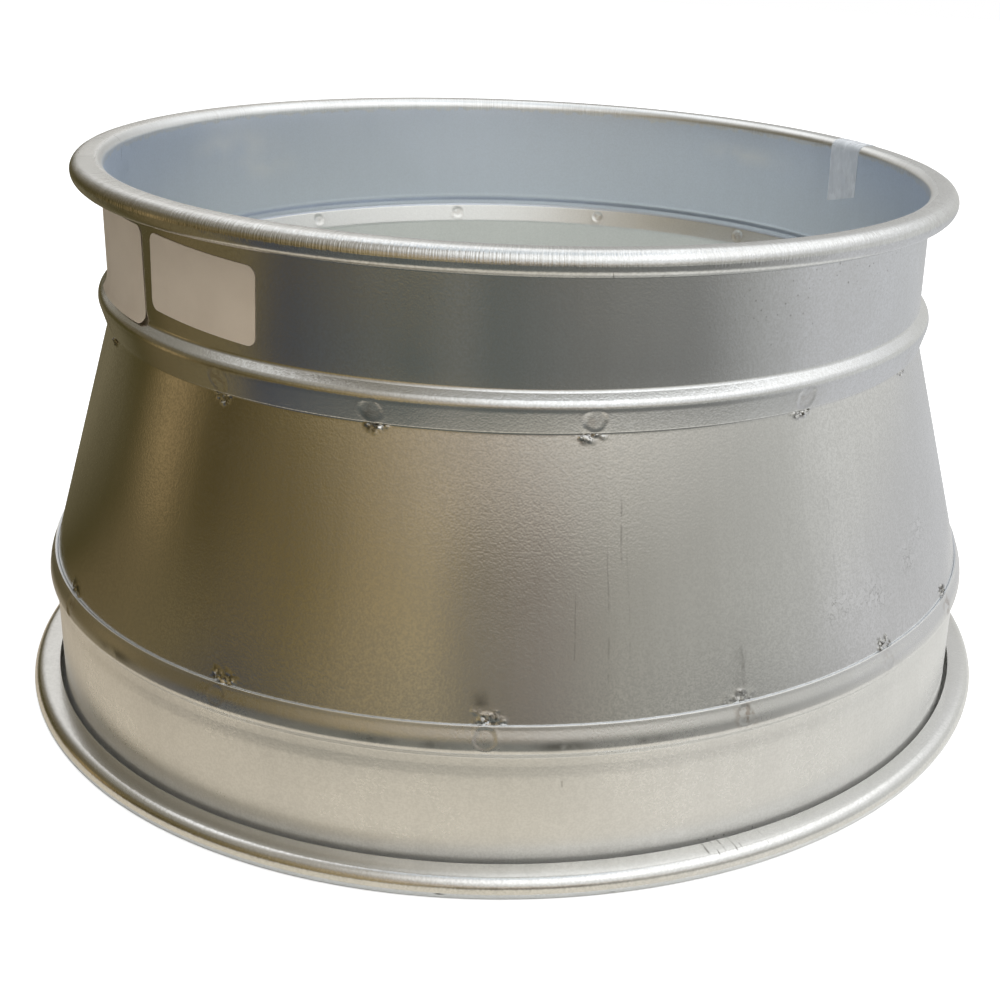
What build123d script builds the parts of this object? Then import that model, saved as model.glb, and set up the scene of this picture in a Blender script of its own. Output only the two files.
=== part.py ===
"""Clamp-together duct reducer in galvanised sheet: two rolled-lip collars spot welded to a tapered body.

Millimetres, +Z up, origin on the axis at the foot of the large lip. The front, where the photograph was
taken from, is -Y, and a bearing is counted in degrees from the front towards +X.
"""
import os
from math import atan2, copysign, cos, radians, sin, tan

from build123d import *

os.makedirs("parts", exist_ok=True)

# Sheet, bores and height
SHEET_T = 1.0
SMALL_BORE_R = 152.4
LARGE_BORE_R = 177.8
TOTAL_H = 200.0

# Rolled lip, the same roll at both ends
SMALL_LIP_OUT = 10.1
LARGE_LIP_OUT = 11.0
LIP_H = 8.5
LIP_GAP = 2.6
LIP_ROOT_R = 3.5

# Straight collar walls, and the ridge that ends each one
SMALL_WALL_L = 45.2
LARGE_WALL_L = 46.0
SMALL_RIDGE_OUT = 4.2
LARGE_RIDGE_OUT = 2.1
SMALL_RIDGE_DROP = 3.2
LARGE_RIDGE_DROP = 2.3
SMALL_BEND_R = 2.4
LARGE_BEND_R = 1.8

# Welded seam between sleeve and tapered body
SMALL_SLEEVE_L = 8.8
LARGE_SLEEVE_L = 7.9
SEAM_CLEAR = 0.05
BODY_SET = 0.7
BODY_END_GAP = 2.2

# Stickers and tape on the small collar, each on a layer of adhesive that is left as a gap
STICK = 0.1
LABEL_T = 0.12
LABEL_CORNER_R = 3.2
ITEM_W = 50.8
ITEM_H = 25.4
ITEM_BEARING = -41.4
ITEM_BELOW_TOP = 26.8
ITEM_TILT = -2.7
STOCK_W = 57.2
STOCK_BEARING = -63.8
STOCK_BELOW_TOP = 12.6
STOCK_TAIL = 1.6
STOCK_BEND_R = 7.0
CUT_ROOM = 6.0
TAPE_T = 0.07
TAPE_W = 19.0
TAPE_BEARING = 116.3
TAPE_L = 24.6
TAPE_SLANT = 14.0
TAPE_TURN = 90

# Radii and levels that follow
SMALL_OUT_R = SMALL_BORE_R + SHEET_T
LARGE_OUT_R = LARGE_BORE_R + SHEET_T
SMALL_LIP_R = SMALL_OUT_R + SMALL_LIP_OUT
LARGE_LIP_R = LARGE_OUT_R + LARGE_LIP_OUT
NOSE_R = LIP_H / 2
SMALL_STEP_Z = TOTAL_H - SMALL_WALL_L
LARGE_STEP_Z = LARGE_WALL_L
SMALL_RIDGE_R = SMALL_BORE_R + SMALL_RIDGE_OUT
LARGE_RIDGE_R = LARGE_BORE_R + LARGE_RIDGE_OUT
SMALL_RIDGE_Z = SMALL_STEP_Z - SMALL_RIDGE_DROP
LARGE_RIDGE_Z = LARGE_STEP_Z + LARGE_RIDGE_DROP
SMALL_EDGE_Z = SMALL_RIDGE_Z - SMALL_SLEEVE_L
LARGE_EDGE_Z = LARGE_RIDGE_Z + LARGE_SLEEVE_L

# Taper of the body, radius gained per millimetre down: both sleeves share it, the small one leaning inward
TAPER_H = SMALL_RIDGE_Z - LARGE_RIDGE_Z - 2 * (SMALL_SLEEVE_L + BODY_SET)
TAPER = (LARGE_RIDGE_R - SMALL_RIDGE_R) / TAPER_H
SMALL_EDGE_R = SMALL_RIDGE_R - TAPER * SMALL_SLEEVE_L
LARGE_EDGE_R = LARGE_RIDGE_R - TAPER * LARGE_SLEEVE_L
WAIST_Z = SMALL_EDGE_Z - BODY_SET
WAIST_R = SMALL_EDGE_R - TAPER * BODY_SET - SEAM_CLEAR
BODY_TOP_Z = SMALL_RIDGE_Z - BODY_END_GAP
BODY_TOP_R = WAIST_R + TAPER * (BODY_TOP_Z - WAIST_Z)
BODY_FOOT_Z = LARGE_RIDGE_Z + BODY_END_GAP
BODY_FOOT_R = WAIST_R + TAPER * (WAIST_Z - BODY_FOOT_Z)

# Corner where the outside of the small wall meets its ridge, and the fall of that ridge
STEP_TURN = atan2(SMALL_RIDGE_OUT, SMALL_RIDGE_DROP)
STEP_CORNER_Z = SMALL_STEP_Z + SHEET_T * tan(STEP_TURN / 2)


def bearing_point(radius, bearing, z):
    """Point at a radius and bearing, at height z."""
    angle = radians(bearing - 90)
    return (radius * cos(angle), radius * sin(angle), z)


def radial_plane(radius, bearing, z):
    """Plane that faces outward at a bearing, with its x axis level."""
    return Plane(
        origin=bearing_point(radius, bearing, z),
        x_dir=bearing_point(1, bearing + 90, 0),
        z_dir=bearing_point(1, bearing, 0),
    )


def chord(length, radius):
    """Straight width that covers an arc of this length on a cylinder."""
    return 2 * radius * sin(length / (2 * radius))


def collar_section(mouth_z, bore_r, lip_r, seam_line, bend_r, side):
    """Section of a collar, from the free edge of its curled lip, round the nose and down the bore.

    The line runs along the face that the bore and the outside of the lip share, and the sheet lies to the
    given side. seam_line holds the step, ridge and edge that end it, and its folds are rounded to bend_r.
    """
    back_z = mouth_z + copysign(LIP_H, seam_line[0][1] - mouth_z)
    nose_foot = (lip_r - NOSE_R, back_z)
    nose_tip = (lip_r, (mouth_z + back_z) / 2)
    nose_top = (lip_r - NOSE_R, mouth_z)
    lip_root = (bore_r, mouth_z)
    wall_middle = (bore_r, (mouth_z + seam_line[0][1]) / 2)
    with BuildSketch(Plane.XZ) as section:
        with BuildLine():
            Line((bore_r + SHEET_T + LIP_GAP, back_z), nose_foot)
            ThreePointArc(nose_foot, nose_tip, nose_top)
            FilletPolyline(nose_top, lip_root, wall_middle, radius=LIP_ROOT_R)
            FilletPolyline(wall_middle, *seam_line, radius=bend_r)
            offset(amount=SHEET_T, side=side)
        make_face()
    return section.sketch


# Lines of the two seams and the body, as points of the section
small_seam = [(SMALL_BORE_R, SMALL_STEP_Z), (SMALL_RIDGE_R, SMALL_RIDGE_Z), (SMALL_EDGE_R, SMALL_EDGE_Z)]
large_seam = [(LARGE_BORE_R, LARGE_STEP_Z), (LARGE_RIDGE_R, LARGE_RIDGE_Z), (LARGE_EDGE_R, LARGE_EDGE_Z)]
body_line = [(BODY_TOP_R, BODY_TOP_Z), (WAIST_R, WAIST_Z), (BODY_FOOT_R, BODY_FOOT_Z)]

# Small collar: lip, wall, ridge and the sleeve that narrows onto the body's waist
with BuildPart() as small_collar:
    small_section = collar_section(TOTAL_H, SMALL_BORE_R, SMALL_LIP_R, small_seam, SMALL_BEND_R, Side.LEFT)
    revolve(small_section, axis=Axis.Z)
small_collar.part.label = "small_collar"
export_step(small_collar.part, "parts/small_collar.step")

# Large collar: lip, wall, ridge and the sleeve that narrows upward round the body's foot
with BuildPart() as large_collar:
    large_section = collar_section(0, LARGE_BORE_R, LARGE_LIP_R, large_seam, LARGE_BEND_R, Side.RIGHT)
    revolve(large_section, axis=Axis.Z)
large_collar.part.label = "large_collar"
export_step(large_collar.part, "parts/large_collar.step")

# Tapered body: waist flared back into the small sleeve, foot held in the large one
with BuildPart() as cone:
    with BuildSketch(Plane.XZ):
        with BuildLine():
            Polyline(*body_line)
            offset(amount=SHEET_T, side=Side.RIGHT)
        make_face()
    revolve(axis=Axis.Z)
cone.part.label = "cone"
export_step(cone.part, "parts/cone.step")

# Plain white item sticker, wrapped round the small wall
with BuildPart() as item_label:
    with BuildSketch(Plane.XZ):
        with Locations((SMALL_OUT_R + STICK, TOTAL_H - ITEM_BELOW_TOP)):
            Rectangle(LABEL_T, ITEM_H + 2 * CUT_ROOM, align=(Align.MIN, Align.CENTER))
    revolve(axis=Axis.Z)
    with BuildSketch(radial_plane(SMALL_OUT_R - CUT_ROOM, ITEM_BEARING, TOTAL_H - ITEM_BELOW_TOP)):
        RectangleRounded(chord(ITEM_W, SMALL_OUT_R), ITEM_H, LABEL_CORNER_R, rotation=ITEM_TILT)
    extrude(amount=2 * CUT_ROOM, mode=Mode.INTERSECT)
item_label.part.label = "item_label"
export_step(item_label.part, "parts/item_label.step")

# Plain white stock sticker, long enough for its foot to turn out over the ridge
stock_face_r = SMALL_OUT_R + STICK
stock_corner_z = STEP_CORNER_Z + STICK * tan(STEP_TURN / 2)
stock_top_z = TOTAL_H - STOCK_BELOW_TOP
stock_foot_z = stock_corner_z - STOCK_TAIL * cos(STEP_TURN)
stock_reach = STOCK_TAIL + STOCK_BEND_R * tan(STEP_TURN / 2)
stock_line = [
    (stock_face_r, stock_top_z + CUT_ROOM),
    (stock_face_r, stock_corner_z),
    (stock_face_r + stock_reach * sin(STEP_TURN), stock_corner_z - stock_reach * cos(STEP_TURN)),
]
with BuildPart() as stock_label:
    with BuildSketch(Plane.XZ):
        with BuildLine():
            FilletPolyline(*stock_line, radius=STOCK_BEND_R)
            offset(amount=LABEL_T, side=Side.LEFT)
        make_face()
    revolve(axis=Axis.Z)
    with BuildSketch(radial_plane(SMALL_OUT_R - CUT_ROOM, STOCK_BEARING, (stock_top_z + stock_foot_z) / 2)):
        RectangleRounded(chord(STOCK_W, SMALL_OUT_R), stock_top_z - stock_foot_z, LABEL_CORNER_R)
    extrude(amount=2 * CUT_ROOM, mode=Mode.INTERSECT)
stock_label.part.label = "stock_label"
export_step(stock_label.part, "parts/stock_label.step")

# Clear tape over the small lip, its cut end hanging inside the bore
tape_fall = TAPE_W / 2 * tan(radians(TAPE_SLANT))
tape_nose_r = SMALL_LIP_R - NOSE_R
tape_line = [
    (SMALL_BORE_R - STICK, TOTAL_H - TAPE_L - 2 * tape_fall),
    (SMALL_BORE_R - STICK, TOTAL_H + STICK),
    (tape_nose_r, TOTAL_H + STICK),
]
tape_outline = [
    (-TAPE_W / 2, tape_fall),
    (TAPE_W / 2, -tape_fall),
    (TAPE_W / 2, TAPE_L + CUT_ROOM),
    (-TAPE_W / 2, TAPE_L + CUT_ROOM),
]
with BuildPart() as tape_strip:
    with BuildSketch(Plane.XZ):
        with BuildLine():
            FilletPolyline(*tape_line, radius=LIP_ROOT_R + STICK)
            CenterArc((tape_nose_r, TOTAL_H - NOSE_R), NOSE_R + STICK, 0, TAPE_TURN)
            offset(amount=TAPE_T, side=Side.LEFT)
        make_face()
    revolve(axis=Axis.Z)
    with BuildSketch(radial_plane(SMALL_BORE_R - CUT_ROOM, TAPE_BEARING, TOTAL_H - TAPE_L)):
        with BuildLine():
            Polyline(*tape_outline, close=True)
        make_face()
    extrude(amount=SHEET_T + SMALL_LIP_OUT + 2 * CUT_ROOM, mode=Mode.INTERSECT)
tape_strip.part.label = "tape_strip"
export_step(tape_strip.part, "parts/tape_strip.step")
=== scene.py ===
"""Looks of a clamp-together duct reducer: two rolled-lip collars spot welded to a tapered sheet body.

Sizes are millimetres in the row frame unless a name says otherwise, and a mesh is built in metres.
A bearing is counted in degrees from the front, -Y, towards +X.
"""
import logging
import math
from dataclasses import dataclass
from enum import Enum
from typing import Any, Iterable, Iterator

import bmesh
import bpy
from mathutils import Matrix, Vector, noise


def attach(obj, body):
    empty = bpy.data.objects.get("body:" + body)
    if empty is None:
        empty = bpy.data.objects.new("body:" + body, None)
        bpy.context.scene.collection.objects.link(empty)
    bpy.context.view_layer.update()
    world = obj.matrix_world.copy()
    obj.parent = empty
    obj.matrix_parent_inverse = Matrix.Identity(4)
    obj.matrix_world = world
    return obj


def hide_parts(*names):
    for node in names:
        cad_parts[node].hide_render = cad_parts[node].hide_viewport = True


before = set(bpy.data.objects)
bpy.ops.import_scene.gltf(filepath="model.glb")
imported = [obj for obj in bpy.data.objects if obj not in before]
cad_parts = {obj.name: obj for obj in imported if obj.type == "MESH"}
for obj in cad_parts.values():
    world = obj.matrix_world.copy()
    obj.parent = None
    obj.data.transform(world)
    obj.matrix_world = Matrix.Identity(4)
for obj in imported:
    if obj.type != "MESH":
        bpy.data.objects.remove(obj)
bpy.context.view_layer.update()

MM = 0.001
LOG = logging.getLogger("duct_reducer")

# Metres: reach for merging vertices, reach for cutting by a plane, and the sheet's mean radius.
MERGE = 3e-5
CUT_REACH = 1e-7
MEAN_RADIUS = 0.165

Colour = tuple[float, float, float, float]
Stops = tuple[tuple[float, ...], ...]
Socket = bpy.types.NodeSocket
Mesh = bmesh.types.BMesh
Vert = bmesh.types.BMVert

UP = Vector((0.0, 0.0, 1.0))
WHITE: Colour = (1.0, 1.0, 1.0, 1.0)

# Painted reflections: glowing tones of the room that the sheet mirrors, around the room by bearing: hundredths of
# red, green and blue, or of one grey.
GLOWING_REFLECTION_TONES: dict[str, Stops] = {
    "well": (
        (-180, 62, 65, 62), (-90, 60, 63, 61), (-42, 62, 65, 62), (-12, 83, 86, 81), (30, 84, 87, 82),
        (60, 78, 81, 77), (110, 70, 73, 70),
    ),
    "near": (
        (-180, 90, 89, 86), (-172, 54, 47, 39), (-110, 60, 52, 42), (-75, 71, 62, 49), (-50, 79, 70, 56),
        (0, 92, 85, 72), (24, 100, 96, 88), (60, 100, 99, 95), (120, 97, 97, 95),
    ),
    "dim": (
        (-180, 62, 61, 59), (-172, 15, 12.5, 7), (-130, 20, 17, 10), (-114, 12, 10, 5), (-106, 7.5, 6, 2),
        (-96, 16, 12, 5.5), (-70, 21, 16.5, 8), (-60, 7, 7.5, 9), (-34, 14.5, 15, 13.5), (-22, 12, 13.5, 12.5),
        (-15, 22, 22, 20), (-8, 13.5, 15, 14), (14, 20.5, 20.5, 19), (42, 25.5, 25.5, 24.5), (58, 48, 48, 47),
        (78, 75, 75, 77), (129, 74, 75, 77),
    ),
    "level": (
        (-180, 62, 60, 56), (-172, 12, 10, 5), (-118, 8, 6.5, 2), (-107, 7, 5.5, 1.5), (-99, 42, 30, 14),
        (-93, 40, 28, 13), (-85, 11.5, 8.5, 3), (-76, 7, 5, 1.5), (-64, 14.5, 10.5, 4), (-49, 18, 13, 4.5),
        (-32, 35.5, 27, 13.5), (-19, 40, 32, 18), (-11, 19.5, 16.5, 11), (4, 22, 18.5, 15.5), (20, 35.5, 34, 29.5),
        (64, 60, 60, 57), (80, 82, 82, 80), (130, 86, 86, 84),
    ),
    "high": (
        (-180, 50, 49, 47), (-172, 80, 77.5, 73.5), (-150, 89, 86, 81), (-134, 28, 25, 19), (-122, 15, 12, 7),
        (-64, 19, 15, 7), (-36, 48, 37.5, 22), (-11, 70, 60, 48), (20, 80, 75, 67), (64, 73, 72, 69),
        (83, 80, 80, 78), (130, 84, 84, 82), (165, 60, 59, 57),
    ),
    "white": (
        (-180, 84, 83, 81), (-170, 100, 98, 95), (-150, 100, 98, 95), (-135, 50, 48, 45), (-120, 26, 24, 20),
        (-73, 28, 26, 22), (-45, 36, 33, 28), (-25, 56, 53, 48), (-8, 88, 87, 85), (15, 100, 100, 99), (60, 100),
        (120, 100), (150, 84), (165, 79),
    ),
    "sky": (
        (-180, 95, 96, 97), (-150, 100), (-108, 95, 95, 94), (-84, 42, 40, 37), (-60, 28, 26, 22),
        (-38, 52, 50, 47), (-10, 95), (20, 100), (140, 100),
    ),
    "lift": ((-180, 0), (-82, 0), (-66, 100), (30, 100), (75, 0)),
    "late": ((-180, 100), (-168, 0), (-148, 0), (-130, 100), (-30, 100), (0, 30), (20, 0), (130, 0), (160, 100)),
}


class Facing(Enum):
    """Which way the drawn face of a sheet looks, with the sheet's thickness behind it."""

    INWARD = -1
    OUTWARD = 1


class Shade(Enum):
    """How a scratch shows on the sheet."""

    BRIGHT = "bright"
    DARK = "dark"


class MarkKind(Enum):
    """What a mark is, by the vertex attribute that carries it."""

    SMEAR = "smear"
    SCUFF = "scuff"
    # Soft lighter patches: painted highlights on the sheet.
    PAINTED_HIGHLIGHT = "haze"
    PITTED = "pitted"


class Slot(Enum):
    """Material slots that the record names."""

    SHEET = "galvanised_sheet"
    PAPER = "label_paper"
    TAPE = "clear_tape"


def polar(radius: float, bearing: float, z: float) -> Vector:
    """Point in metres at a radius, bearing and height given in millimetres and degrees."""
    turn = math.radians(bearing)
    return Vector((radius * math.sin(turn), -radius * math.cos(turn), z)) * MM


def bearing_of(point: Vector) -> float:
    """Bearing of a point in degrees, from -180 to 180."""
    return math.degrees(math.atan2(point.x, -point.y))


def turn_between(bearing: float, other: float) -> float:
    """Shortest turn in degrees from the other bearing to this one."""
    return (bearing - other + 180.0) % 360.0 - 180.0


def outward(point: Vector) -> Vector:
    """Unit vector from the axis to a point, level."""
    return point.xy.to_3d().normalized()


def smooth(value: float) -> float:
    """Smooth step of a value from 0 to 1."""
    t = min(max(value, 0.0), 1.0)
    return t * t * (3.0 - 2.0 * t)


def waver(point: Vector, amount: float = 0.07, length: float = 24.0, rise: float = 0.3) -> Vector:
    """Small move in or out that rolled sheet has, in upright waves that die away at the lips.

    Args:
        point: Place in metres.
        amount: Greatest move in millimetres.
        length: Width of a wave in millimetres.
        rise: How fast the waves change with height, against how fast they change around.

    Returns:
        The move in metres.
    """
    low, high, fade = 10.0, 192.0, 14.0
    z = point.z / MM
    share = smooth((z - low) / fade) * smooth((high - z) / fade)
    place = Vector((point.x, point.y, point.z * rise)) / (length * MM)
    return outward(point) * (noise.noise(place) * amount * share * MM)


def spin(mesh: Mesh, geom: list[Any], angle: float, steps: int, merge: bool = False) -> list[Any]:
    """Draws geometry round the axis by an angle in degrees, and returns the last of it."""
    spun = bmesh.ops.spin(
        mesh,
        geom=geom,
        cent=(0.0, 0.0, 0.0),
        axis=UP,
        angle=math.radians(angle),
        steps=steps,
        use_merge=merge,
    )
    return spun["geom_last"]


def bevel(mesh: Mesh, geom: list[Any], affect: str, offset: float, segments: int) -> None:
    """Rounds corners or edges, by an offset in millimetres."""
    bmesh.ops.bevel(
        mesh,
        geom=geom,
        affect=affect,
        offset=offset * MM,
        offset_type="OFFSET",
        segments=segments,
        profile=0.5,
        material=-1,
    )


def cut(mesh: Mesh, place: Vector, normal: Vector, drop: bool = False) -> None:
    """Cuts a mesh by a plane, and drops what is in front of it when asked to."""
    geom = mesh.verts[:] + mesh.edges[:] + mesh.faces[:]
    bmesh.ops.bisect_plane(mesh, geom=geom, dist=CUT_REACH, plane_co=place, plane_no=normal, clear_outer=drop)


def face(mesh: Mesh, facing: Facing) -> None:
    """Makes the faces of a turned sheet look away from the axis, or at it."""
    bmesh.ops.recalc_face_normals(mesh, faces=mesh.faces[:])
    mesh.normal_update()
    widest = max(mesh.faces, key=lambda one: one.calc_area())
    away = widest.normal.dot(widest.calc_center_median().xy.to_3d())
    if away * facing.value < 0:
        bmesh.ops.reverse_faces(mesh, faces=mesh.faces[:])


def in_scene(name: str, data: bpy.types.ID) -> bpy.types.Object:
    """Makes an object from its data and links it to the scene."""
    made = bpy.data.objects.new(name, data)
    bpy.context.scene.collection.objects.link(made)
    return made


def mesh_object(name: str, mesh: Mesh) -> bpy.types.Object:
    """Makes an object from a mesh, which is freed."""
    data = bpy.data.meshes.new(name)
    mesh.to_mesh(data)
    mesh.free()
    return in_scene(name, data)


def finish_piece(name: str, node: str, mesh: Mesh, material: bpy.types.Material) -> bpy.types.Object:
    """Makes an object that stands for a CAD node.

    Args:
        name: Name of the piece.
        node: CAD node that it replaces.
        mesh: The finished mesh, which is freed.
        material: Its finish.

    Returns:
        The object.
    """
    sharp_turn = math.radians(40)
    piece = mesh_object(name, mesh)
    piece.data.shade_smooth()
    piece.data.set_sharp_from_angle(angle=sharp_turn)
    piece.data.materials.append(material)
    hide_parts(node)
    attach(piece, "root")
    LOG.info("%s: %d faces", name, len(piece.data.polygons))
    return piece


class Graph:
    """One node tree: adds nodes, fills their sockets and joins them."""

    def __init__(self, tree: bpy.types.NodeTree) -> None:
        """Starts from an empty tree."""
        self.tree = tree
        tree.nodes.clear()

    def add(self, kind: str, inputs: dict[str | int, Any] | None = None, **settings: Any) -> bpy.types.Node:
        """Adds a node.

        Args:
            kind: Type name of the node.
            inputs: Values, or sockets to link, by the input's name or number.
            settings: Properties of the node.

        Returns:
            The new node.
        """
        node = self.tree.nodes.new(kind)
        for key, value in settings.items():
            setattr(node, key, value)
        for key, value in (inputs or {}).items():
            if isinstance(value, Socket):
                self.tree.links.new(value, node.inputs[key])
            else:
                node.inputs[key].default_value = value
        return node

    def math(self, operation: str, *values: Any) -> Socket:
        """Result of a Math node on values or sockets."""
        return self.add("ShaderNodeMath", dict(enumerate(values)), operation=operation).outputs[0]

    def times(self, first: Any, second: Any) -> Socket:
        """Product of two values."""
        return self.math("MULTIPLY", first, second)

    def scaled(self, value: Any, factor: Any, added: Any) -> Socket:
        """Value times a factor, plus another value."""
        return self.math("MULTIPLY_ADD", value, factor, added)

    def vector(self, operation: str, *values: Any) -> Socket:
        """Resulting vector of a Vector Math node."""
        return self.add("ShaderNodeVectorMath", dict(enumerate(values)), operation=operation).outputs[0]

    def place(self) -> Socket:
        """Object coordinates."""
        return self.add("ShaderNodeTexCoord").outputs["Object"]

    def axes(self, place: Socket) -> Any:
        """Outputs X, Y and Z of a place."""
        return self.add("ShaderNodeSeparateXYZ", {0: place}).outputs

    def turn(self, axes: Any) -> Socket:
        """Bearing in radians of a place that is given by its axes."""
        return self.math("ARCTAN2", axes["X"], self.times(axes["Y"], -1.0))

    def level(self, place: Socket) -> Socket:
        """A place brought down to the floor."""
        return self.vector("MULTIPLY", place, (1.0, 1.0, 0.0))

    def radius(self, place: Socket) -> Socket:
        """Distance of a place from the axis."""
        return self.add("ShaderNodeVectorMath", {0: self.level(place)}, operation="LENGTH").outputs["Value"]

    def noise(self, vector: Any, scale: Any, detail: float = 2.0) -> Socket:
        """Value of a noise texture."""
        inputs = {"Vector": vector, "Scale": scale, "Detail": detail}
        return self.add("ShaderNodeTexNoise", inputs).outputs["Fac"]

    def remap(self, value: Any, low: Any, high: Any, start: Any = 0.0, end: Any = 1.0) -> Socket:
        """Smooth, clamped map of a value from low..high to start..end."""
        inputs = {"Value": value, "From Min": low, "From Max": high, "To Min": start, "To Max": end}
        return self.add("ShaderNodeMapRange", inputs, interpolation_type="SMOOTHSTEP").outputs["Result"]

    def blend(self, share: Any, first: Any, second: Any, how: str = "MIX") -> Socket:
        """Colour mixed from two others by a share from 0 to 1."""
        node = self.add("ShaderNodeMix", {0: share, 6: first, 7: second}, data_type="RGBA", blend_type=how)
        return node.outputs[2]

    def cover(self, colour: Any, over: Colour, mask: Socket, share: Any) -> Socket:
        """Colour with another laid over it, where a mask is and as strong as a share."""
        return self.blend(self.times(mask, share), colour, over)

    def ramp(self, value: Any, stops: Iterable[tuple[float, Colour]]) -> Socket:
        """Colour of a ramp with the given stops."""
        node = self.add("ShaderNodeValToRGB", {"Fac": value})
        elements = node.color_ramp.elements
        while len(elements) > 1:
            elements.remove(elements[-1])
        for index, (place, colour) in enumerate(stops):
            element = elements[0] if index == 0 else elements.new(place)
            element.position = place
            element.color = colour
        return node.outputs["Color"]

    def coat(self, relief: Socket, strength: float, depth: float, looks: dict[str, Any]) -> None:
        """Ends a material with a Principled shader.

        Args:
            relief: Height that bumps the surface.
            strength: Strength of the bump.
            depth: Depth of the bump in millimetres.
            looks: The shader's other inputs by name.
        """
        bump = self.add("ShaderNodeBump", {"Strength": strength, "Distance": depth * MM, "Height": relief})
        self.surface(self.add("ShaderNodeBsdfPrincipled", {**looks, "Normal": bump.outputs["Normal"]}))

    def surface(self, shader: bpy.types.Node) -> None:
        """Makes a shader the material's surface."""
        self.add("ShaderNodeOutputMaterial", {"Surface": shader.outputs[0]})


def new_material(name: str) -> tuple[bpy.types.Material, Graph]:
    """Makes a material with an empty node tree."""
    made = bpy.data.materials.new(name)
    made.use_nodes = True
    return made, Graph(made.node_tree)


class Effect:
    """A shader node group that several finishes share."""

    def __init__(self, name: str, inputs: dict[str, float], outputs: Iterable[str]) -> None:
        """Makes the group and its sockets.

        Args:
            name: Name of the group.
            inputs: Default of each input value by its name.
            outputs: Names of the output values.
        """
        self.tree = bpy.data.node_groups.new(name, "ShaderNodeTree")
        self.graph = Graph(self.tree)
        for label, value in inputs.items():
            socket = self.tree.interface.new_socket(label, in_out="INPUT", socket_type="NodeSocketFloat")
            socket.default_value = value
        for label in outputs:
            self.tree.interface.new_socket(label, in_out="OUTPUT", socket_type="NodeSocketFloat")
        self.source = self.graph.add("NodeGroupInput").outputs
        self.sink = self.graph.add("NodeGroupOutput")

    def put(self, label: str, value: Socket) -> None:
        """Links a value to an output."""
        self.tree.links.new(value, self.sink.inputs[label])

    def place(self, graph: Graph, **inputs: Any) -> Any:
        """Adds the group to a material's graph with its own input values, and returns its outputs."""
        named = {label.capitalize(): value for label, value in inputs.items()}
        return graph.add("ShaderNodeGroup", named, node_tree=self.tree).outputs


class SheetEffects:
    """Node groups for the marks that every piece of sheet carries."""

    def __init__(self) -> None:
        """Builds the groups once."""
        self.grain = self.build_grain()
        self.lines = self.build_lines()
        self.pits = self.build_pits()
        self.stroke = self.build_stroke()

    def build_grain(self) -> Effect:
        """Zinc grain: fine crystals for tone and relief, and wide clouds of tone."""
        effect = Effect("zinc_grain", {"Fine": 1500.0, "Wide": 26.0}, ("Tone", "Relief", "Cloud"))
        graph, source = effect.graph, effect.source
        place = graph.place()
        fine = graph.noise(place, source["Fine"], 1.0)
        coarse = graph.noise(place, graph.times(source["Fine"], 0.5), 1.0)
        both = graph.scaled(fine, 0.55, graph.times(coarse, 0.45))
        effect.put("Tone", graph.remap(both, 0.34, 0.66))
        effect.put("Relief", both)
        effect.put("Cloud", graph.remap(graph.noise(place, source["Wide"]), 0.33, 0.67))
        return effect

    def build_lines(self) -> Effect:
        """Rolling and brushing lines, drawn out around the axis or along it, on a cylinder of the mean radius."""
        effect = Effect("roll_lines", {"Around": 1.0, "Along": 1.0}, ("Tone",))
        graph, source = effect.graph, effect.source
        place = graph.place()
        unit = graph.vector("NORMALIZE", graph.level(place))
        round_part = graph.vector("MULTIPLY", unit, (MEAN_RADIUS, MEAN_RADIUS, 0.0))
        height = graph.vector("MULTIPLY", place, UP)
        factors = {0: source["Around"], 1: source["Around"], 2: source["Along"]}
        scale = graph.add("ShaderNodeCombineXYZ", factors).outputs[0]
        drawn = graph.vector("MULTIPLY", graph.vector("ADD", round_part, height), scale)
        effect.put("Tone", graph.remap(graph.noise(drawn, 1.0), 0.3, 0.7))
        return effect

    def build_pits(self) -> Effect:
        """Small dark pits: a dot in some of the cells of a pattern."""
        effect = Effect("zinc_pits", {"Scale": 480.0, "Share": 0.8, "Size": 0.16}, ("Mask",))
        graph, source = effect.graph, effect.source
        cells = graph.add("ShaderNodeTexVoronoi", {"Vector": graph.place(), "Scale": source["Scale"]}).outputs
        pick = graph.add("ShaderNodeSeparateColor", {0: cells["Color"]}).outputs["Red"]
        size = graph.times(source["Size"], graph.scaled(pick, 1.6, 0.4))
        dot = graph.remap(cells["Distance"], size, graph.times(size, 0.45))
        effect.put("Mask", graph.times(dot, graph.math("LESS_THAN", pick, source["Share"])))
        return effect

    def build_stroke(self) -> Effect:
        """One scratch along the axis: a thin line at a bearing between two heights, broken here and there."""
        span = {"Bearing": 0.0, "Low": 0.0, "High": 0.1, "Width": 0.0003}
        form = {"Lean": 0.0, "Soft": 0.006, "Drift": 0.5, "Broken": 1.0}
        widest_drift = 0.0014
        effect = Effect("scratch_stroke", {**span, **form}, ("Mask",))
        graph, source = effect.graph, effect.source
        axes = graph.axes(graph.place())
        turn = graph.math("SUBTRACT", graph.turn(axes), graph.math("RADIANS", source["Bearing"]))
        climb = graph.math("SUBTRACT", axes["Z"], source["Low"])
        across = graph.scaled(turn, MEAN_RADIUS, graph.times(climb, source["Lean"]))
        drift = graph.scaled(source["Drift"], widest_drift, -widest_drift / 2)
        away = graph.math("ABSOLUTE", graph.math("ADD", across, drift))
        line = graph.remap(away, source["Width"], graph.times(source["Width"], 0.25))
        above = graph.remap(climb, 0.0, source["Soft"])
        below = graph.remap(graph.math("SUBTRACT", source["High"], axes["Z"]), 0.0, source["Soft"])
        ends = graph.times(graph.times(above, below), source["Broken"])
        effect.put("Mask", graph.times(line, ends))
        return effect


@dataclass(frozen=True)
class Scratch:
    """One long scratch along the sheet, in millimetres and degrees."""

    bearing: float
    low: float
    high: float
    width: float = 0.3
    lean: float = 0.0
    strength: float = 0.5
    soft: float = 6.0
    shade: Shade = Shade.DARK


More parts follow.
